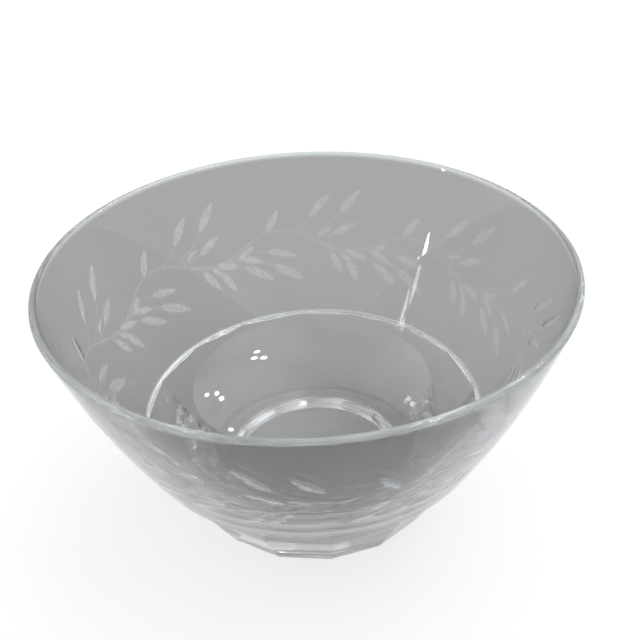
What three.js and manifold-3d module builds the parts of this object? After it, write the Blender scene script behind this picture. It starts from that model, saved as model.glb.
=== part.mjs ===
// A dessert bowl of clear pressed glass: a round flared bowl that steps in, over a narrow ledge,
// to sixteen flat panels which taper to a faceted foot.
// Millimetres, +Z up, origin at the centre of the plane that the foot rests on.

import * as THREE from "three";
import { mergeVertices } from "three/addons/utils/BufferGeometryUtils.js";
import Module from "manifold-3d";

// Driving dimensions

const HEIGHT = 69; // resting plane to the top of the lip
const RIM_RADIUS = 65; // outside of the lip
const LIP_THICKNESS = 1.7; // the lip is a full round of this diameter
const WALL_BOW = 1.2; // how far the round wall swells outside a straight line

const LEDGE_HEIGHT = 22.9; // outer edge of the ledge above the resting plane
const LEDGE_RADIUS = 46.9; // outer edge of the ledge
const LEDGE_STEP = 1.3; // width of the ledge where it is narrowest, at a ridge between panels
const LEDGE_DROP = 0.14; // how far the underside of the ledge falls inwards across that width
const LEDGE_WALL = 3.9; // level thickness of the wall at the outer edge of the ledge

const PANEL_COUNT = 16; // flat panels round the foot
const FOOT_RADIUS = 33.8; // over the ridges between panels, at the resting plane
const FOOT_BEVEL = 0.4; // bevel between the panels and the resting face
const RESTING_WIDTH = 6.6; // flat ring that the bowl stands on, across the middle of a panel

const FLOOR_THICKNESS = 6.5; // resting plane to the lowest point of the inside
const FLOOR_SPREAD = 24; // reach of the nearly level middle of the inside
const BASIN_DROP = 10; // length over which the inside keeps the wall's slope below the ledge

const RECESS_DEPTH = 1.5; // hollow under the base, at its edge
const RECESS_CROWN = 0.3; // further rise of the hollow at its centre
const RECESS_SHOULDER = 5; // width of the rounded shoulder round the hollow

// Facets

const TURN_FACETS = 96;
const WALL_STEPS = 10;
const LIP_STEPS = 8;
const BASIN_STEPS = 10;
const SHOULDER_STEPS = 4;
const OVERSIZE = 10; // how far the panel envelope stands clear of the round wall

const CENTRE = 0;
const GLASS_COLOUR = 0xdde4e1;

// Profile points are Vector2(radius, height). They run round the section from the axis under the
// base, out and up the outside, over the lip, and down the inside to the axis.

function point(radius, height) {
  return new THREE.Vector2(radius, height);
}

function outwardNormal(start, end) {
  const along = end.clone().sub(start).normalize();
  return point(along.y, -along.x);
}

// The swelling wall between two points, with its control point off the middle of the chord.
function wallCurve(start, end) {
  const control = start.clone().add(end).multiplyScalar(0.5);
  control.addScaledVector(outwardNormal(start, end), 2 * WALL_BOW);
  return new THREE.QuadraticBezierCurve(start, control, end);
}

function panelApothem(radiusOverRidges) {
  return radiusOverRidges * Math.cos(Math.PI / PANEL_COUNT);
}

const lipRadius = LIP_THICKNESS / 2;
const lipCentre = point(RIM_RADIUS - lipRadius, HEIGHT - lipRadius);
const ledgeEdge = point(LEDGE_RADIUS, LEDGE_HEIGHT);
const lipTilt = wallCurve(ledgeEdge, lipCentre).getTangent(1).angle() - Math.PI / 2;

// The lip's half circle starts square to the outer wall and ends square to the inner wall.
function lipPoint(turn) {
  const angle = lipTilt + turn * Math.PI;
  return point(
    lipCentre.x + lipRadius * Math.cos(angle),
    lipCentre.y + lipRadius * Math.sin(angle),
  );
}

function lipPoints() {
  const points = [];
  for (let step = 1; step < LIP_STEPS; step += 1) {
    points.push(lipPoint(step / LIP_STEPS));
  }
  return points;
}

// The inside follows the outside down to the ledge, then rounds into the thick floor.
const innerLedge = point(LEDGE_RADIUS - LEDGE_WALL, LEDGE_HEIGHT);
const innerWall = wallCurve(innerLedge, lipPoint(1));

function basinCurve() {
  const below = innerLedge.clone().addScaledVector(innerWall.getTangent(0), -BASIN_DROP);
  return new THREE.CubicBezierCurve(
    innerLedge,
    below,
    point(FLOOR_SPREAD, FLOOR_THICKNESS),
    point(CENTRE, FLOOR_THICKNESS),
  );
}

// The hollow under the base: a shallow crown, then a rounded shoulder down to the resting ring.
function recessPoints() {
  const edge = point(panelApothem(FOOT_RADIUS) - FOOT_BEVEL - RESTING_WIDTH, 0);
  const top = point(edge.x - RECESS_SHOULDER, RECESS_DEPTH);
  const corner = point(top.x + RECESS_SHOULDER / 3, RECESS_DEPTH);
  const shoulder = new THREE.QuadraticBezierCurve(top, corner, edge);
  const crown = new THREE.QuadraticBezierCurve(
    point(CENTRE, RECESS_DEPTH + RECESS_CROWN),
    point(top.x / 2, RECESS_DEPTH + RECESS_CROWN),
    top,
  );
  return [...crown.getPoints(SHOULDER_STEPS), ...shoulder.getPoints(SHOULDER_STEPS).slice(1)];
}

// The whole section of the bowl, with a plain cylinder in place of the panels.
function bowlProfile() {
  return [
    ...recessPoints(),
    point(LEDGE_RADIUS, 0),
    ...wallCurve(ledgeEdge, lipPoint(0)).getPoints(WALL_STEPS),
    ...lipPoints(),
    ...innerWall.getPoints(WALL_STEPS).reverse(),
    ...basinCurve().getPoints(BASIN_STEPS).slice(1),
  ];
}

// What the panels may fill: a tapered prism up to the ledge, and everything above its underside,
// which goes on outwards at its own slope.
function panelEnvelopeProfile() {
  const clear = RIM_RADIUS + LEDGE_RADIUS + OVERSIZE;
  const rise = ((clear - LEDGE_RADIUS) * LEDGE_DROP) / LEDGE_STEP;
  return [
    point(CENTRE, 0),
    point(FOOT_RADIUS - FOOT_BEVEL, 0),
    point(FOOT_RADIUS, FOOT_BEVEL),
    point(LEDGE_RADIUS - LEDGE_STEP, LEDGE_HEIGHT - LEDGE_DROP),
    point(clear, LEDGE_HEIGHT + rise),
    point(clear, HEIGHT + OVERSIZE),
    point(CENTRE, HEIGHT + OVERSIZE),
  ];
}

// A profile turned round the Z axis, starting at the given angle from +X.
function revolve(profile, facets, startAngle) {
  const geometry = new THREE.LatheGeometry(profile, facets, startAngle);
  geometry.rotateX(Math.PI / 2);
  return geometry;
}

const wasm = await Module();
wasm.setup();

function toSolid(geometry) {
  geometry.deleteAttribute("normal");
  geometry.deleteAttribute("uv");
  const merged = mergeVertices(geometry);
  return new wasm.Manifold(
    new wasm.Mesh({
      numProp: 3,
      vertProperties: merged.attributes.position.array,
      triVerts: new Uint32Array(merged.index.array),
    }),
  );
}

function toGeometry(solid) {
  const mesh = solid.getMesh();
  const geometry = new THREE.BufferGeometry();
  geometry.setAttribute("position", new THREE.BufferAttribute(mesh.vertProperties, 3));
  geometry.setIndex(new THREE.BufferAttribute(mesh.triVerts, 1));
  geometry.computeVertexNormals();
  return geometry;
}

// One piece of glass: the turned bowl, trimmed below the ledge to flat panels that face the axes.
function makeBowl() {
  const turned = toSolid(revolve(bowlProfile(), TURN_FACETS, 0));
  const panelled = toSolid(revolve(panelEnvelopeProfile(), PANEL_COUNT, Math.PI / PANEL_COUNT));
  const glass = new THREE.MeshStandardMaterial({
    color: GLASS_COLOUR,
    roughness: 0.04,
    metalness: 0,
    transparent: true,
    opacity: 0.35,
  });
  const bowl = new THREE.Mesh(toGeometry(turned.intersect(panelled)), glass);
  bowl.name = "bowl";
  return bowl;
}

const dessertBowl = new THREE.Group();
dessertBowl.add(makeBowl());

export default dessertBowl;
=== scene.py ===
"""A dessert bowl of clear pressed glass with an engraved garland, on a plain pale floor."""

import math

import bpy
import numpy as np
from mathutils import Matrix, Vector


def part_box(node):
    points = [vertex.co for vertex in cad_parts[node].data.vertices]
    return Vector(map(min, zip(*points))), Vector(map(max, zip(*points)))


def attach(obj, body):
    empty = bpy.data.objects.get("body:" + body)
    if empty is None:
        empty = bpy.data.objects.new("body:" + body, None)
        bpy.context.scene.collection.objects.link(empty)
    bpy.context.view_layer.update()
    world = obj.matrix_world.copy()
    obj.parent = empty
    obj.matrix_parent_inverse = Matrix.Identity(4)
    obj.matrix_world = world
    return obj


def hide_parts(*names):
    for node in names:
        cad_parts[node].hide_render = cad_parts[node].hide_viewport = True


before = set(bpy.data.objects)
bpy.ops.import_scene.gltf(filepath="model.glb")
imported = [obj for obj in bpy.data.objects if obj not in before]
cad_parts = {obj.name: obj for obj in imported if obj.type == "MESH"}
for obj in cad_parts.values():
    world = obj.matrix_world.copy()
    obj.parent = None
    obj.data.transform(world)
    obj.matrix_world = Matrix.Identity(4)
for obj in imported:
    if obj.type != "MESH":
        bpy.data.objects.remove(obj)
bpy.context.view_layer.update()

# Sizes below are in millimetres and angles in degrees. The origin is at the centre of the plane
# that the foot rests on, and angles round the bowl are counted from +X towards +Y.
MM = 0.001
top_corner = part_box("bowl")[1]

# Section of the bowl
HEIGHT = top_corner.z / MM
RIM_RADIUS = top_corner.x / MM
LIP_THICKNESS = 1.7  # the lip is a full round of this diameter
WALL_BOW = 1.2  # how far the round wall swells outside a straight line
WALL_LENGTH = 48.0  # about, from the ledge up to the lip
WALL_SLANT = 1.09  # about, length along the wall for each millimetre of height
LEDGE_HEIGHT = 22.9  # outer edge of the ledge
LEDGE_RADIUS = 46.9
LEDGE_STEP = 1.3  # width of the ledge at a ridge between panels
LEDGE_DROP = 0.14  # how far its underside falls inwards across that width
LEDGE_WALL = 3.9  # level thickness of the wall at the ledge
LEDGE_EDGE = 0.14  # rounding of the ledge's outer edge
LOWEST_ROW = 3 * LEDGE_EDGE  # from the ledge up to the wall's lowest row, along the wall
PANEL_COUNT = 16
RIDGE_SOFTNESS_TOP = 0.8  # radius that rounds the ridges between panels, at the ledge
RIDGE_SOFTNESS_FOOT = 2.0  # the same at the foot
FOOT_RADIUS = 33.8  # over the ridges
FOOT_BEVEL = 0.4
BEVEL_SOFTNESS = 0.3  # share of the bevel by which its control point lies off the sharp corner
RESTING_WIDTH = 6.6  # flat ring that the bowl stands on, across the middle of a panel
FLOOR_THICKNESS = 6.5
FLOOR_SPREAD = 24.0  # reach of the nearly level middle of the inside
BASIN_DROP = 10.0  # length over which the inside keeps the wall's slope below the ledge
RECESS_DEPTH = 1.5  # hollow under the base, at its edge
RECESS_CROWN = 0.3  # further rise of the hollow at its centre
RECESS_SHOULDER = 5.0  # width of the rounded shoulder round the hollow

# Engraved garland: one wave for each crest angle, growing towards smaller angles
CREST_ANGLES = (62.25, 105.75, 149.25, 192.75, 241.5, 290.25, 334.25, 378.25)
WAVE_COUNT = len(CREST_ANGLES)
WAVE_ANGLE = 360 / WAVE_COUNT
WAVE_SPAN = (-60, 14)  # angles from its crest between which a wave and its leaves lie
OFFSET_START = -100  # angles from a crest are counted up from here, beyond the wave's far end
STEM_SPAN = (-46, 2)
STEM_HEIGHT = 43.3
STEM_SWING = 3.2
STEM_WIDTH = 0.8
STALK_WIDTH = 0.8 * STEM_WIDTH
STEM_DEPTH = 0.08
LEAF_DEPTH = 0.12
LEAF_WIDTH = 3.1
LEAF_SKEW = 0.85  # below 1, a leaf is widest nearer its base
LEAF_FULLNESS = 0.8  # below 1, its ends are blunter
CUT_CURVE = 1.3  # cross section of a cut, where 1 is a sharp V and 2 is a round hollow
FULL_DEPTH_WIDTH = 1.0  # half width from which a cut is at its full depth
BAND_BOTTOM = 29.0
BAND_TOP = 62.0

# Leaves of one wave: base angle, base height, tip angle, tip height and width share, with angles
# from the crest of a wave of even length
LEAVES = (
    (-10.5, 49.6, -17.2, 56.8, 1.0),
    (-20.0, 50.6, -26.6, 58.4, 1.05),
    (-18.0, 44.6, -26.0, 48.4, 0.95),
    (-13.2, 44.6, -18.0, 46.6, 0.6),
    (3.6, 46.4, -1.2, 53.0, 0.95),
    (-22.2, 40.3, -31.0, 38.2, 0.9),
    (-32.2, 37.8, -42.4, 32.3, 1.0),
    (-30.4, 41.0, -39.6, 37.8, 0.9),
    (-42.0, 37.0, -53.6, 31.8, 1.1),
    (-40.6, 41.0, -51.4, 38.7, 0.85),
    (-31.2, 40.4, -36.8, 43.2, 0.75),
    (-20.6, 39.8, -25.8, 36.2, 0.7),
    (-17.4, 40.0, -22.0, 33.4, 0.9),
    (-23.4, 38.2, -27.8, 31.4, 0.95),
)

# Stalks of one wave, as three control points each: angle from the crest and height
STALKS = (
    ((-4.0, 46.2), (-8.0, 46.6), (-10.5, 49.6)),
    ((-9.0, 45.2), (-16.5, 46.2), (-20.0, 50.6)),
    ((-11.5, 44.2), (-15.0, 43.8), (-18.0, 44.6)),
    ((8.4, 44.8), (6.0, 45.2), (3.6, 46.4)),
    ((-12.0, 43.2), (-15.6, 42.2), (-17.4, 40.0)),
    ((-14.0, 42.2), (-19.0, 41.0), (-23.4, 38.2)),
    ((-16.0, 41.8), (-19.0, 41.2), (-22.2, 40.3)),
    ((-20.0, 40.4), (-26.0, 40.4), (-32.2, 37.8)),
    ((-22.0, 40.2), (-33.0, 41.2), (-42.0, 37.0)),
    ((-26.0, 40.4), (-34.0, 42.2), (-40.6, 41.0)),
)

# Mesh density: columns round the bowl, and rows in each stretch of the section with its two ends
COLUMNS = 960
FLOOR_ROWS = 34
INNER_WALL_ROWS = 28
LIP_ROWS = 13
ROWS_OVER_BAND = 7
BAND_ROWS = 96
ROWS_UNDER_BAND = 8
LEDGE_ROWS = 5
PANEL_ROWS = 16
BEVEL_ROWS = 6
RESTING_ROWS = 5
SHOULDER_ROWS = 12
CROWN_ROWS = 10
WALL_SAMPLES = 200  # for looking up the outer wall by height
INSIDE_SAMPLES = 1000  # for looking up the inside by height
SLOPE_STEP = 0.001  # share of the wall over which its slope is taken, up and down
LEAF_POINTS = 9
STEM_POINTS = 40
STALK_POINTS = 8

# Finish: how satin each place is, where 1 is a frosted surface
LEAF_SATIN = 0.4
# the swing makes the leaves paler and rougher towards one side, painted light where the light falls
LEAF_SATIN_AND_LIGHT_SWING = 0.6  # share by which it grows and shrinks round the bowl
# angle round the bowl where the leaves are most satin and palest, painted light
MOST_SATIN_AND_LIGHT_ANGLE = 215.0
FULL_SATIN_DEPTH = 0.06  # depth from which a cut is as satin as it gets
# the ledge is satin and takes the pale satin colour, which paints its bright ring as a painted
# highlight
LEDGE_SATIN_AND_HIGHLIGHT = 0.75
HOLLOW_SATIN = 0.25
CUT_GRAIN = 900.0  # noise scale of the marks that the wheel left
CUT_UNEVENNESS = 0.45  # share by which those marks change the satin
NOISE_RANGE = (0.35, 0.65)  # values that the noise mostly has
POLISHED_ROUGHNESS = 0.01
SATIN_ROUGHNESS = 0.2
SATIN_CLEARNESS = 0.9  # share of light that a satin place lets through as glass does
# pale bluish colour that satin places take instead of the grey painted shade: partly the paler look
# of frosted glass, partly a painted highlight on the ledge ring, the leaves and the hollow
SATIN_AND_HIGHLIGHT_COLOUR = (0.84, 0.90, 0.93)
REFRACTIVE_INDEX = 1.52
SHEEN = 0.04
SHEEN_ROUGHNESS = 0.5
SHARP_ANGLE = 50  # between faces, from which an edge shows as sharp
# Tint of the glass by height, all painted: its grey is painted shade for darker surroundings seen
# through clear glass, deepest in the foot; the pale lip is painted light
GLASS_SHADE_AND_LIGHT_BY_HEIGHT = (
    (0.0, (0.30, 0.30, 0.29)),
    (18.0, (0.34, 0.335, 0.33)),
    (27.0, (0.345, 0.337, 0.332)),
    (67.8, (0.345, 0.337, 0.332)),
    (68.6, (0.84, 0.92, 0.88)),
)

# Studio: softboxes as angle, height angle, spread, strength and colour, all seen from the bowl
DOME_COLOUR = (0.42, 0.42, 0.43)
SOFTBOXES = (
    (57, 50, 38, 2.2, (0.95, 1.0, 1.06)),
    (-30, 50, 38, 1.2, (0.94, 1.0, 1.07)),
    (90, 84, 40, 0.9, (0.98, 1.0, 1.03)),
    (90, 40, 35, 0.3, (1.0, 1.0, 1.0)),
    (165, 35, 40, 1.3, (0.95, 1.0, 1.08)),
)
SOFTBOX_CORE = 0.25  # share of the spread that has the full strength
LAMP_DISTANCE = 5000.0  # from a glint on the inside of the bowl to its bulb
LAMP_GLARE = 20.0  # brightness of a bare bulb, where white is 1
GLINTS = (  # where the bulbs show on the inside, as angle and height, and each bulb's radius
    (56.5, 45.0, 90),
    (58.0, 38.0, 90),
    (56.5, 30.5, 90),
    (135.0, 34.0, 25),
    (136.0, 31.5, 25),
    (135.0, 30.0, 25),
    (123.0, 17.0, 160),
    (125.5, 16.0, 160),
    (121.0, 15.5, 160),
    (158.5, 15.0, 130),
    (154.0, 14.0, 130),
    (154.5, 13.0, 130),
    (171.5, 10.0, 90),
    (177.0, 21.0, 90),
    (183.0, 18.0, 90),
    (181.0, 15.5, 120),
)
FLOOR_REACH = 6000.0  # from the bowl to each edge of the floor
FLOOR_GAP = 0.2  # between the floor and the resting face
FLOOR_TONE = 0.9
FLOOR_GRAIN = 40.0  # noise scale of the paper
FLOOR_GRAIN_SWING = 0.01  # change of its tone
FLOOR_ROUGHNESS = 0.9
FLOOR_SPECULAR = 0.1
FLOOR_GLOW = 0.75  # share of plain white in what the camera sees of the floor
FLOOR_GLOW_IN_GLASS = 0.5  # the same, through the glass and in its reflections
BACKDROP_GLOW_IN_GLASS = 0.3  # share of white in the dome behind the floor, seen the same way
MOST_BOUNCES = 40  # of a ray of light, enough to pass through every wall of the glass
GLASS_BOUNCES = 32

# Camera, fitted to the photograph
CAMERA_DISTANCE = 205.3  # from the middle of the mouth
CAMERA_HEIGHT_ANGLE = 30.05
CAMERA_TURN = 7.25  # round the bowl from the front, which faces -Y
CAMERA_ROLL = -2.94
CAMERA_PAN = -0.75
CAMERA_TILT = -4.19
CAMERA_NEAREST = 10.0  # nearest distance that the camera sees
FOCAL_LENGTH = 47.8
SENSOR_WIDTH = 36.0

# Angles used to place the rows' points, in radians
HALF_PANEL = math.pi / PANEL_COUNT
COLUMN_ANGLES = np.arange(COLUMNS) * 2 * math.pi / COLUMNS


# Section curves, whose points are pairs of radius and height


def shares(count):
    """Evenly spaced shares from 0 to 1."""
    return np.linspace(0, 1, count)


def bezier(points, along):
    """Points of a Bezier curve with these control points, at the given shares along it."""
    levels = [np.asarray(point, float)[None, :] for point in points]
    along = np.asarray(along, float)[:, None]
    while len(levels) > 1:
        levels = [(1 - along) * start + along * end for start, end in zip(levels, levels[1:])]
    return levels[0]


def wall_control(start, end):
    """The middle control point of the swelling wall between two section points."""
    chord = np.subtract(end, start)
    outward = np.array([chord[1], -chord[0]]) / np.linalg.norm(chord)
    return np.add(start, end) / 2 + 2 * WALL_BOW * outward


LIP_RADIUS = LIP_THICKNESS / 2
LIP_CENTRE = np.array([RIM_RADIUS - LIP_RADIUS, HEIGHT - LIP_RADIUS])
LEDGE_POINT = np.array([LEDGE_RADIUS, LEDGE_HEIGHT])
LIP_SLOPE = LIP_CENTRE - wall_control(LEDGE_POINT, LIP_CENTRE)
LIP_TILT = math.atan2(LIP_SLOPE[1], LIP_SLOPE[0]) - math.pi / 2


def lip_point(turn):
    """Point of the lip's half circle, from the outer wall at turn 0 to the inner wall at 1."""
    angle = LIP_TILT + turn * math.pi
    return LIP_CENTRE + LIP_RADIUS * np.array([math.cos(angle), math.sin(angle)])


def outer_wall(along):
    start, end = LEDGE_POINT, lip_point(0)
    return bezier([start, wall_control(start, end), end], along)


def inside_curves():
    """Control points of the inner wall, from the lip down, and of the floor that goes on."""
    start = lip_point(1)
    ledge = (LEDGE_RADIUS - LEDGE_WALL, LEDGE_HEIGHT)
    control = wall_control(ledge, start)
    slope = np.subtract(control, ledge)
    below = ledge - BASIN_DROP * slope / np.linalg.norm(slope)
    floor = [ledge, below, (FLOOR_SPREAD, FLOOR_THICKNESS), (0, FLOOR_THICKNESS)]
    return [start, control, ledge], floor


def ledge_underside(radii):
    return LEDGE_HEIGHT - (LEDGE_RADIUS - radii) * LEDGE_DROP / LEDGE_STEP


def panel_apothem(over_ridges):
    return over_ridges * math.cos(HALF_PANEL)


WALL_POINTS = outer_wall(shares(WALL_SAMPLES))
WALL_RADII = WALL_POINTS[:, 0]
WALL_HEIGHTS = WALL_POINTS[:, 1]
HOLLOW_RADIUS = panel_apothem(FOOT_RADIUS) - FOOT_BEVEL - RESTING_WIDTH
HOLLOW_TOP = RECESS_DEPTH + RECESS_CROWN


# Rows of the mesh


def level(radii, height):
    """One closed row of the mesh, as points in metres."""
    heights = np.broadcast_to(height, COLUMNS)
    return MM * np.stack(
        [radii * np.cos(COLUMN_ANGLES), radii * np.sin(COLUMN_ANGLES), heights], axis=1
    )


def turned_rows(points):
    return [level(np.full(COLUMNS, radius), height) for radius, height in points]


def panel_row(over_ridges, softness):
    """Radii of a row across the panels, with ridges rounded by the softness radius."""
    apothem = panel_apothem(over_ridges)
    from_middle = np.abs((COLUMN_ANGLES + HALF_PANEL) % (2 * HALF_PANEL) - HALF_PANEL)
    flat = apothem / np.cos(from_middle)
    centre = (apothem - softness) / math.cos(HALF_PANEL)
    from_ridge = HALF_PANEL - from_middle
    reach = np.sqrt(np.maximum(softness**2 - (centre * np.sin(from_ridge)) ** 2, 0))
    rounded = centre * np.cos(from_ridge) + reach
    tangent = math.atan((apothem - softness) * math.tan(HALF_PANEL) / apothem)
    return np.where(from_middle > tangent, rounded, flat)


def inner_rows():
    """The inside, from round the middle of the floor up to the lip."""
    wall, floor = inside_curves()
    rows = turned_rows(bezier(wall, shares(INNER_WALL_ROWS)))
    rows += turned_rows(bezier(floor, shares(FLOOR_ROWS))[1:-1])
    return rows[::-1]


def lip_rows():
    return turned_rows([lip_point(turn) for turn in np.linspace(1, 0, LIP_ROWS)[1:-1]])


def wall_shares():
    """Where the rows of the outer wall lie along it, close together in the engraved band."""
    band_top = np.interp(BAND_TOP, WALL_HEIGHTS, shares(WALL_SAMPLES))
    band_bottom = np.interp(BAND_BOTTOM, WALL_HEIGHTS, shares(WALL_SAMPLES))
    over_ledge = LOWEST_ROW / WALL_LENGTH
    return np.concatenate(
        [
            np.linspace(1, band_top, ROWS_OVER_BAND)[:-1],
            np.linspace(band_top, band_bottom, BAND_ROWS),
            np.linspace(band_bottom, over_ledge, ROWS_UNDER_BAND)[1:],
        ]
    )


def wall_rows():
    """Rows of the outer wall from the lip to the ledge, with the garland cut into them."""
    along = wall_shares()
    points = outer_wall(along)
    slopes = outer_wall(along + SLOPE_STEP) - outer_wall(along - SLOPE_STEP)
    slopes /= np.linalg.norm(slopes, axis=1)[:, None]
    depth = garland_depth(points[:, 1])
    rows = []
    for point, slope, cut in zip(points, slopes, depth):
        rows.append(level(point[0] - cut * slope[1], point[1] + cut * slope[0]))
    return rows, depth


def ledge_rows():
    """The rounded edge of the ledge, from the wall to its underside."""
    start = outer_wall([LEDGE_EDGE / WALL_LENGTH])[0]
    end_radius = LEDGE_RADIUS - LEDGE_EDGE
    end = (end_radius, ledge_underside(end_radius))
    return turned_rows(bezier([start, LEDGE_POINT, end], shares(LEDGE_ROWS)))


def panel_rows():
    """The panels, from the ledge's underside down to the bevel."""
    rows = []
    top = LEDGE_RADIUS - LEDGE_STEP
    highest = ledge_underside(panel_row(top, RIDGE_SOFTNESS_TOP))
    for part in shares(PANEL_ROWS):
        over_ridges = top + (FOOT_RADIUS - top) * part
        softness = RIDGE_SOFTNESS_TOP + (RIDGE_SOFTNESS_FOOT - RIDGE_SOFTNESS_TOP) * part
        heights = highest + (FOOT_BEVEL - highest) * part
        rows.append(level(panel_row(over_ridges, softness), heights))
    return rows


def foot_rows():
    """The bevel and the resting ring, inwards."""
    off_corner = BEVEL_SOFTNESS * FOOT_BEVEL
    corners = [
        (FOOT_RADIUS, FOOT_BEVEL),
        (FOOT_RADIUS - off_corner, off_corner),
        (FOOT_RADIUS - FOOT_BEVEL, 0),
    ]
    rows = []
    for radius, height in bezier(corners, shares(BEVEL_ROWS)[1:]):
        rows.append(level(panel_row(radius, RIDGE_SOFTNESS_FOOT), height))
    outside = panel_row(FOOT_RADIUS - FOOT_BEVEL, RIDGE_SOFTNESS_FOOT)
    for part in shares(RESTING_ROWS)[1:]:
        rows.append(level(outside + (HOLLOW_RADIUS - outside) * part, 0.0))
    return rows


def hollow_rows():
    """The hollow under the base: its rounded shoulder and its shallow crown, towards the axis."""
    top = (HOLLOW_RADIUS - RECESS_SHOULDER, RECESS_DEPTH)
    corner = (top[0] + RECESS_SHOULDER / 3, RECESS_DEPTH)
    shoulder = bezier([(HOLLOW_RADIUS, 0), corner, top], shares(SHOULDER_ROWS))[1:]
    crown = bezier([top, (top[0] / 2, HOLLOW_TOP), (0, HOLLOW_TOP)], shares(CROWN_ROWS))[1:-1]
    return turned_rows(shoulder) + turned_rows(crown)


# Garland


def stem_height(angle):
    """Height of the stem, which is highest at the crest."""
    return STEM_HEIGHT + STEM_SWING * np.cos(np.radians(WAVE_COUNT * angle))


def groove(angles, heights, line, half_widths, depth):
    """Depth of a cut along a line of (angle, height) points, zero beyond its half widths."""
    line = np.asarray(line, float)
    arcs = np.interp(line[:, 1], WALL_HEIGHTS, WALL_RADII) * math.pi / 180
    cut = np.zeros_like(angles)
    for start, end, first, last, arc in zip(line, line[1:], half_widths, half_widths[1:], arcs):
        step_along = (end[0] - start[0]) * arc
        step_up = (end[1] - start[1]) * WALL_SLANT
        across = (angles - start[0]) * arc
        up = (heights - start[1]) * WALL_SLANT
        part = (across * step_along + up * step_up) / np.hypot(step_along, step_up) ** 2
        nearest = np.clip(part, 0, 1)
        away = np.hypot(across - nearest * step_along, up - nearest * step_up)
        half = np.maximum(first + (last - first) * nearest, 1e-6)
        hollow = 1 - np.minimum(away / half, 1) ** CUT_CURVE
        cut = np.maximum(cut, depth * hollow * np.minimum(half / FULL_DEPTH_WIDTH, 1))
    return cut


def leaf_cut(angles, heights, leaf):
    base_angle, base_height, tip_angle, tip_height, share = leaf
    along = shares(LEAF_POINTS)
    line_angles = base_angle + (tip_angle - base_angle) * along
    line_heights = base_height + (tip_height - base_height) * along
    half_widths = 0.5 * LEAF_WIDTH * share * np.sin(math.pi * along**LEAF_SKEW) ** LEAF_FULLNESS
    line = np.stack([line_angles, line_heights], axis=1)
    return groove(angles, heights, line, half_widths, LEAF_DEPTH)


def stem_cut(angles, heights):
    """Depth of the wave's stem and of the stalks that leave it."""
    along = np.linspace(*STEM_SPAN, STEM_POINTS)
    line = np.stack([along, stem_height(along)], axis=1)
    cut = groove(angles, heights, line, np.full(STEM_POINTS, STEM_WIDTH / 2), STEM_DEPTH)
    half_widths = np.full(STALK_POINTS, STALK_WIDTH / 2)
    for stalk in STALKS:
        line = bezier(stalk, shares(STALK_POINTS))
        cut = np.maximum(cut, groove(angles, heights, line, half_widths, STEM_DEPTH))
    return cut


def garland_depth(heights):
    """Depth of the engraving at each row height and each column of the wall."""
    degrees = np.degrees(COLUMN_ANGLES)
    depth = np.zeros((len(heights), COLUMNS))
    rows = np.broadcast_to(heights[:, None], depth.shape)
    for before, crest in zip((CREST_ANGLES[-1] - 360, *CREST_ANGLES), CREST_ANGLES):
        stretch = (crest - before) / WAVE_ANGLE
        offset = (degrees - crest - OFFSET_START) % 360 + OFFSET_START
        angles = np.broadcast_to(offset / stretch, depth.shape)
        near = np.flatnonzero((angles[0] > WAVE_SPAN[0]) & (angles[0] < WAVE_SPAN[1]))
        local = stem_cut(angles[:, near], rows[:, near])
        for leaf in LEAVES:
            local = np.maximum(local, leaf_cut(angles[:, near], rows[:, near], leaf))
        depth[:, near] = np.maximum(depth[:, near], local)
    return depth


# Bowl


def leaf_satin(depth):
    """Satin of the engraved band. The garland is cut by hand; its satin grows towards one side,
    which makes the leaves there paler and rougher, as painted light on that side.
    """
    turn = COLUMN_ANGLES - math.radians(MOST_SATIN_AND_LIGHT_ANGLE)
    satin_and_light_by_column = LEAF_SATIN * (1 + LEAF_SATIN_AND_LIGHT_SWING * np.cos(turn))
    return satin_and_light_by_column * np.clip(depth / FULL_SATIN_DEPTH, 0, 1)


def skin(rows, first_height, last_height):
    """Vertices and faces of a closed surface through the rows, with a pole at each end."""
    poles = [(0, 0, first_height * MM), (0, 0, last_height * MM)]
    points = np.concatenate([*rows, poles])
    here = np.arange(COLUMNS)
    there = (here + 1) % COLUMNS
    faces = []
    for number in range(len(rows) - 1):
        upper, lower = number * COLUMNS, (number + 1) * COLUMNS
        quads = np.stack([upper + here, lower + here, lower + there, upper + there], axis=1)
        faces += quads.tolist()
    first, last = len(points) - 2, len(points) - 1
    end = (len(rows) - 1) * COLUMNS
    faces += [[first, a, b] for a, b in zip(here.tolist(), there.tolist())]
    faces += [[last, end + b, end + a] for a, b in zip(here.tolist(), there.tolist())]
    return points, faces


def add_object(name, data):
    added = bpy.data.objects.new(name, data)
    bpy.context.collection.objects.link(added)
    return added


def set_attribute(mesh, name, values):
    mesh.attributes.new(name, "FLOAT", "POINT").data.foreach_set("value", values)


def by_point(sections, values):
    """A number for each point, from one number or one grid of them for each section."""
    grids = [
        np.broadcast_to(value, (len(section), COLUMNS)) for section, value in zip(sections, values)
    ]
    poles = [0, 0]
    return np.append(np.concatenate(grids), poles)


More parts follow.
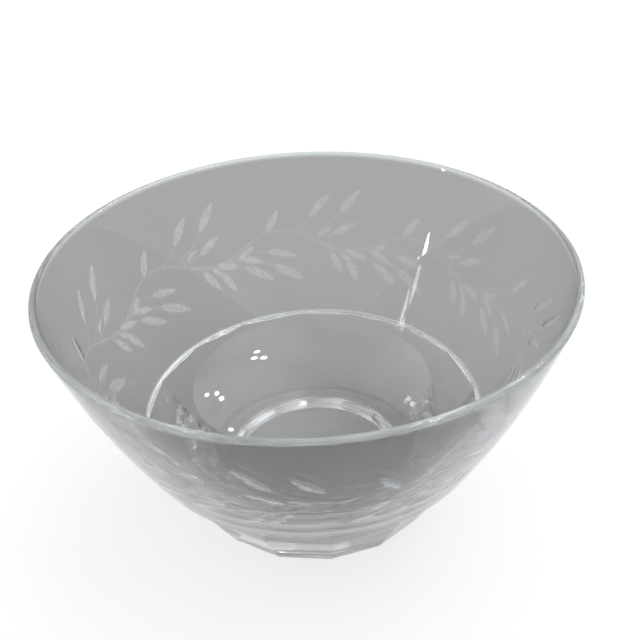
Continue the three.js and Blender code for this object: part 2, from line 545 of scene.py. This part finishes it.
def make_bowl():
    """The whole bowl as one closed surface, from the floor over the lip to the hollow base."""
    wall, depth = wall_rows()
    stretches = [
        (inner_rows(), 0, 0),
        (lip_rows(), 0, 0),
        (wall, 0, leaf_satin(depth)),
        (ledge_rows(), LEDGE_SATIN_AND_HIGHLIGHT, 0),
        (panel_rows(), 0, 0),
        (foot_rows(), 0, 0),
        (hollow_rows(), HOLLOW_SATIN, 0),
    ]
    sections, satin, wheel_cut_and_painted_light = zip(*stretches)
    points, faces = skin(sum(sections, []), FLOOR_THICKNESS, HOLLOW_TOP)
    mesh = bpy.data.meshes.new("glass_bowl")
    mesh.from_pydata(points.tolist(), [], faces)
    set_attribute(mesh, "satin", by_point(sections, satin))
    set_attribute(mesh, "wheel_cut_and_painted_light", by_point(sections, wheel_cut_and_painted_light))
    mesh.shade_smooth()
    mesh.set_sharp_from_angle(angle=math.radians(SHARP_ANGLE))
    return add_object("glass_bowl", mesh)


# Materials


def new_material(name):
    material = bpy.data.materials.new(name)
    material.use_nodes = True
    return material, material.node_tree.nodes, material.node_tree.links


def set_inputs(node, inputs):
    for name, value in inputs.items():
        node.inputs[name].default_value = value


def add_node(nodes, kind, inputs=None, **settings):
    """A new node with these settings and, by name or number, these values of its sockets."""
    node = nodes.new(kind)
    for name, value in settings.items():
        setattr(node, name, value)
    set_inputs(node, inputs or {})
    return node


def painted_tone_by_height(nodes, links):
    """Painted colour of the glass by height: grey painted shade, darkest in the foot, then even,
    and pale at the lip as painted light.
    """
    place = add_node(nodes, "ShaderNodeTexCoord")
    split = add_node(nodes, "ShaderNodeSeparateXYZ")
    share = add_node(nodes, "ShaderNodeMapRange", {"From Max": HEIGHT * MM})
    ramp = add_node(nodes, "ShaderNodeValToRGB")
    stops = ramp.color_ramp.elements
    while len(stops) < len(GLASS_SHADE_AND_LIGHT_BY_HEIGHT):
        stops.new(0.5)
    for stop, (height, painted_tone) in zip(stops, GLASS_SHADE_AND_LIGHT_BY_HEIGHT):
        stop.position = height / HEIGHT
        stop.color = (*painted_tone, 1)
    links.new(place.outputs["Object"], split.inputs["Vector"])
    links.new(split.outputs["Z"], share.inputs["Value"])
    links.new(share.outputs["Result"], ramp.inputs["Fac"])
    return ramp.outputs["Color"]


def by_satin(nodes, links, satin, polished_value, satin_value):
    """A number that goes from its polished to its satin value as the surface gets satin."""
    ends = {"To Min": polished_value, "To Max": satin_value}
    share = add_node(nodes, "ShaderNodeMapRange", ends)
    links.new(satin, share.inputs["Value"])
    return share.outputs["Result"]


def satin_share(nodes, links):
    """How satin the surface is: evenly where the mould left it, unevenly where a wheel cut it."""
    place = add_node(nodes, "ShaderNodeTexCoord")
    grain = add_node(nodes, "ShaderNodeTexNoise", {"Scale": CUT_GRAIN, "Detail": 1.0})
    spread = {
        "From Min": NOISE_RANGE[0],
        "From Max": NOISE_RANGE[1],
        "To Min": 1 - CUT_UNEVENNESS,
        "To Max": 1 + CUT_UNEVENNESS,
    }
    uneven = add_node(nodes, "ShaderNodeMapRange", spread)
    even = add_node(nodes, "ShaderNodeAttribute", attribute_name="satin")
    cut = add_node(nodes, "ShaderNodeAttribute", attribute_name="wheel_cut_and_painted_light")
    share = add_node(nodes, "ShaderNodeMath", operation="MULTIPLY_ADD")
    links.new(place.outputs["Object"], grain.inputs["Vector"])
    links.new(grain.outputs["Fac"], uneven.inputs["Value"])
    links.new(uneven.outputs["Result"], share.inputs[0])
    links.new(cut.outputs["Fac"], share.inputs[1])
    links.new(even.outputs["Fac"], share.inputs[2])
    return share.outputs["Value"]


def glass_material():
    """Clear glass with a grey tint of painted shade, polished but for the garland, the ledge and
    the hollow.
    """
    material, nodes, links = new_material("pressed_glass")
    shader = nodes["Principled BSDF"]
    satin = satin_share(nodes, links)
    # satin places take the pale satin colour, partly a painted highlight
    painted_tone = add_node(nodes, "ShaderNodeMix", {"B": (*SATIN_AND_HIGHLIGHT_COLOUR, 1)}, data_type="RGBA")
    links.new(satin, painted_tone.inputs["Factor"])
    links.new(painted_tone_by_height(nodes, links), painted_tone.inputs["A"])
    links.new(painted_tone.outputs["Result"], shader.inputs["Base Color"])
    rough = by_satin(nodes, links, satin, POLISHED_ROUGHNESS, SATIN_ROUGHNESS)
    links.new(rough, shader.inputs["Roughness"])
    clearness = by_satin(nodes, links, satin, 1.0, SATIN_CLEARNESS)
    links.new(clearness, shader.inputs["Transmission Weight"])
    even = {"IOR": REFRACTIVE_INDEX, "Sheen Weight": SHEEN, "Sheen Roughness": SHEEN_ROUGHNESS}
    set_inputs(shader, even)
    return material


def white_share(nodes, links, seen, seen_in_glass):
    """Share of plain white in the background, for camera rays and for rays off or out of glass."""
    path = add_node(nodes, "ShaderNodeLightPath")
    in_glass = add_node(nodes, "ShaderNodeMath", operation="MAXIMUM")
    links.new(path.outputs["Is Transmission Ray"], in_glass.inputs[0])
    links.new(path.outputs["Is Glossy Ray"], in_glass.inputs[1])
    through = add_node(nodes, "ShaderNodeMath", {1: seen_in_glass}, operation="MULTIPLY")
    links.new(in_glass.outputs["Value"], through.inputs[0])
    share = add_node(nodes, "ShaderNodeMath", {1: seen}, operation="MULTIPLY_ADD")
    links.new(path.outputs["Is Camera Ray"], share.inputs[0])
    links.new(through.outputs["Value"], share.inputs[2])
    return share.outputs["Value"]


def floor_material():
    """Pale matt paper, partly plain white where it is looked at, so that its shadow stays light."""
    material, nodes, links = new_material("pale_floor")
    paper = nodes["Principled BSDF"]
    set_inputs(paper, {"Roughness": FLOOR_ROUGHNESS, "Specular IOR Level": FLOOR_SPECULAR})
    place = add_node(nodes, "ShaderNodeTexCoord")
    grain = add_node(nodes, "ShaderNodeTexNoise", {"Scale": FLOOR_GRAIN})
    tones = {"To Min": FLOOR_TONE - FLOOR_GRAIN_SWING, "To Max": FLOOR_TONE + FLOOR_GRAIN_SWING}
    tone = add_node(nodes, "ShaderNodeMapRange", tones)
    links.new(place.outputs["Object"], grain.inputs["Vector"])
    links.new(grain.outputs["Fac"], tone.inputs["Value"])
    links.new(tone.outputs["Result"], paper.inputs["Base Color"])
    glow = add_node(nodes, "ShaderNodeEmission")
    blend = add_node(nodes, "ShaderNodeMixShader")
    share = white_share(nodes, links, FLOOR_GLOW, FLOOR_GLOW_IN_GLASS)
    links.new(share, blend.inputs["Fac"])
    links.new(paper.outputs["BSDF"], blend.inputs[1])
    links.new(glow.outputs["Emission"], blend.inputs[2])
    links.new(blend.outputs["Shader"], nodes["Material Output"].inputs["Surface"])
    return material


# Stage


def make_floor():
    reach = FLOOR_REACH * MM
    corners = [(-reach, -reach, 0), (reach, -reach, 0), (reach, reach, 0), (-reach, reach, 0)]
    mesh = bpy.data.meshes.new("floor")
    mesh.from_pydata(corners, [], [(0, 1, 2, 3)])
    mesh.materials.append(floor_material())
    floor = add_object("floor", mesh)
    floor.location.z = -FLOOR_GAP * MM


def towards(angle, height_angle):
    """Unit vector towards an angle round the bowl and an angle above the floor."""
    turn, rise = math.radians(angle), math.radians(height_angle)
    reach = math.cos(rise)
    return Vector((reach * math.cos(turn), reach * math.sin(turn), math.sin(rise)))


def softbox_glow(nodes, links, seen_from, softbox):
    """A softbox's light by direction, in a node whose third socket takes what it adds to."""
    angle, height_angle, spread, strength, tint = softbox
    middle = towards(angle, height_angle)
    facing = add_node(nodes, "ShaderNodeVectorMath", {1: middle}, operation="DOT_PRODUCT")
    links.new(seen_from, facing.inputs[0])
    falloff = {
        "From Min": math.cos(math.radians(spread)),
        "From Max": math.cos(math.radians(spread * SOFTBOX_CORE)),
        "To Max": strength,
    }
    share = add_node(nodes, "ShaderNodeMapRange", falloff, interpolation_type="SMOOTHSTEP")
    links.new(facing.outputs["Value"], share.inputs["Value"])
    glow = add_node(nodes, "ShaderNodeVectorMath", {0: tint}, operation="MULTIPLY_ADD")
    links.new(share.outputs["Result"], glow.inputs[1])
    return glow


def make_world():
    """An even dome with soft brighter areas for the softboxes, white where it is the backdrop."""
    world = bpy.data.worlds.new("studio")
    world.use_nodes = True
    bpy.context.scene.world = world
    nodes, links = world.node_tree.nodes, world.node_tree.links
    place = add_node(nodes, "ShaderNodeTexCoord")
    glows = [softbox_glow(nodes, links, place.outputs["Generated"], box) for box in SOFTBOXES]
    glows[0].inputs[2].default_value = DOME_COLOUR
    for under, over in zip(glows, glows[1:]):
        links.new(under.outputs["Vector"], over.inputs[2])
    white = add_node(nodes, "ShaderNodeMix", {"B": (1, 1, 1, 1)}, data_type="RGBA")
    links.new(white_share(nodes, links, 1.0, BACKDROP_GLOW_IN_GLASS), white.inputs["Factor"])
    links.new(glows[-1].outputs["Vector"], white.inputs["A"])
    links.new(white.outputs["Result"], nodes["Background"].inputs["Color"])


def camera_place():
    away = towards(CAMERA_TURN - 90, CAMERA_HEIGHT_ANGLE)
    return Vector((0, 0, HEIGHT * MM)) + away * CAMERA_DISTANCE * MM


def mirrored_lamp(section, angle, height):
    """Where a lamp stands whose mirror image the camera sees at this place on the inside."""
    nearest = np.argmin(np.abs(section[:, 1] - height))
    fall = section[nearest + 1] - section[nearest - 1]
    outward = towards(angle, 0)
    glint = (outward * section[nearest, 0] + Vector((0, 0, section[nearest, 1]))) * MM
    normal = (outward * fall[1] - Vector((0, 0, fall[0]))).normalized()
    sight = (glint - camera_place()).normalized()
    return glint + sight.reflect(normal) * LAMP_DISTANCE * MM


def make_bulbs():
    """Small bare bulbs that show as bright points in the glass and hardly light it."""
    wall, floor = inside_curves()
    along = shares(INSIDE_SAMPLES)
    section = np.concatenate([bezier(wall, along), bezier(floor, along)[1:]])
    for number, (angle, height, radius) in enumerate(GLINTS):
        light = bpy.data.lights.new(f"bulb_{number}", "POINT")
        light.shadow_soft_size = radius * MM
        light.energy = LAMP_GLARE * (2 * math.pi * radius * MM) ** 2
        lamp = add_object(light.name, light)
        lamp.location = mirrored_lamp(section, angle, height)


def rotated(vector, axis, degrees):
    return Matrix.Rotation(math.radians(degrees), 3, axis) @ vector


def make_camera():
    """The camera, aimed at the middle of the mouth and then panned, tilted and rolled."""
    forward = -towards(CAMERA_TURN - 90, CAMERA_HEIGHT_ANGLE)
    right = towards(CAMERA_TURN, 0)
    up = right.cross(forward)
    forward, right = rotated(forward, up, CAMERA_PAN), rotated(right, up, CAMERA_PAN)
    forward, up = rotated(forward, right, CAMERA_TILT), rotated(up, right, CAMERA_TILT)
    right, up = rotated(right, forward, -CAMERA_ROLL), rotated(up, forward, -CAMERA_ROLL)
    data = bpy.data.cameras.new("camera")
    data.sensor_width = SENSOR_WIDTH
    data.lens = FOCAL_LENGTH
    data.clip_start = CAMERA_NEAREST * MM
    camera = add_object("camera", data)
    axes = Matrix((right, up, -forward)).transposed().to_4x4()
    camera.matrix_world = Matrix.Translation(camera_place()) @ axes
    bpy.context.scene.camera = camera


def main():
    bowl = make_bowl()
    bowl.data.materials.append(glass_material())
    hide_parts("bowl")
    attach(bowl, "root")
    make_floor()
    make_world()
    make_bulbs()
    make_camera()
    scene = bpy.context.scene
    scene.view_settings.view_transform = "Standard"
    scene.cycles.max_bounces = MOST_BOUNCES
    scene.cycles.glossy_bounces = GLASS_BOUNCES
    scene.cycles.transmission_bounces = GLASS_BOUNCES


main()
